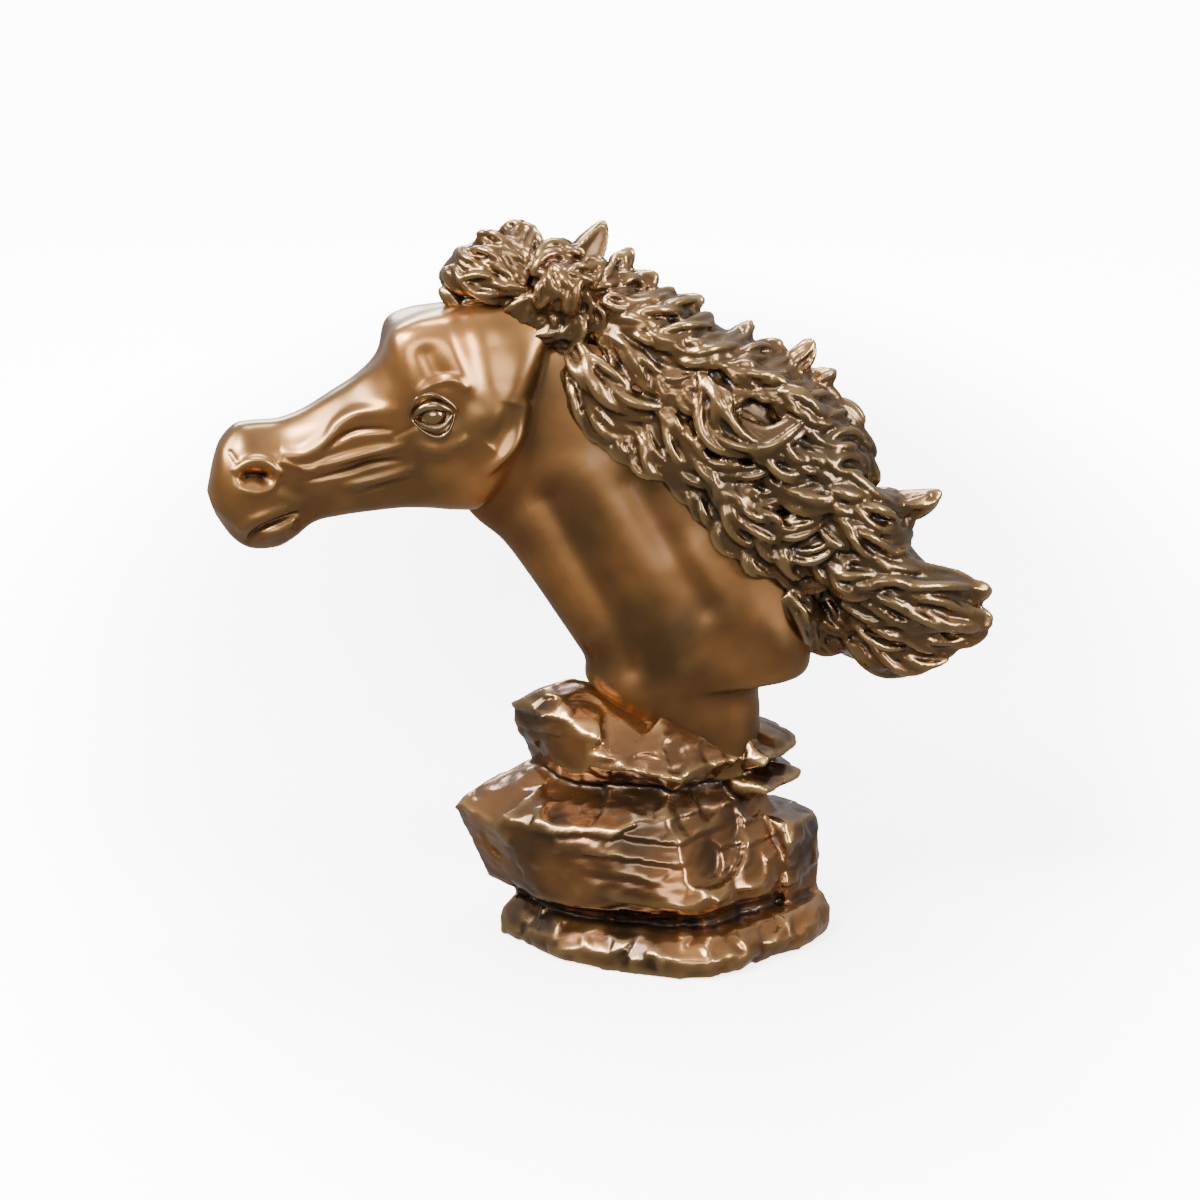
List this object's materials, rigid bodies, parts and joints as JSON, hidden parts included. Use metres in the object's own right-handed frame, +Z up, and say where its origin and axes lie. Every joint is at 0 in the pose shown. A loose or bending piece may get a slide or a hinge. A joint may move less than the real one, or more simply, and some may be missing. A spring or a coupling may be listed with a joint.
{
  "type": "horse head sculpture",
  "caption": "Cast bronze bust of a horse with dished profile, laid-back ears and wind-blown mane, one with its rugged ledged rock stand.",
  "frame": {"origin": "middle of the stand's flat underside", "axes": "+Z up; the horse looks along -X and the mane streams to +X; its left side, the one pictured, faces -Y"},
  "size_m": [0.3125, 0.1103, 0.2945],
  "materials": {
    "bronze": "dark brown patina, waxed to a soft gloss, warmer on the worn high spots"
  },
  "bodies": {
    "root": {"horse_head_bust": "bronze"}
  },
  "joints": []
}
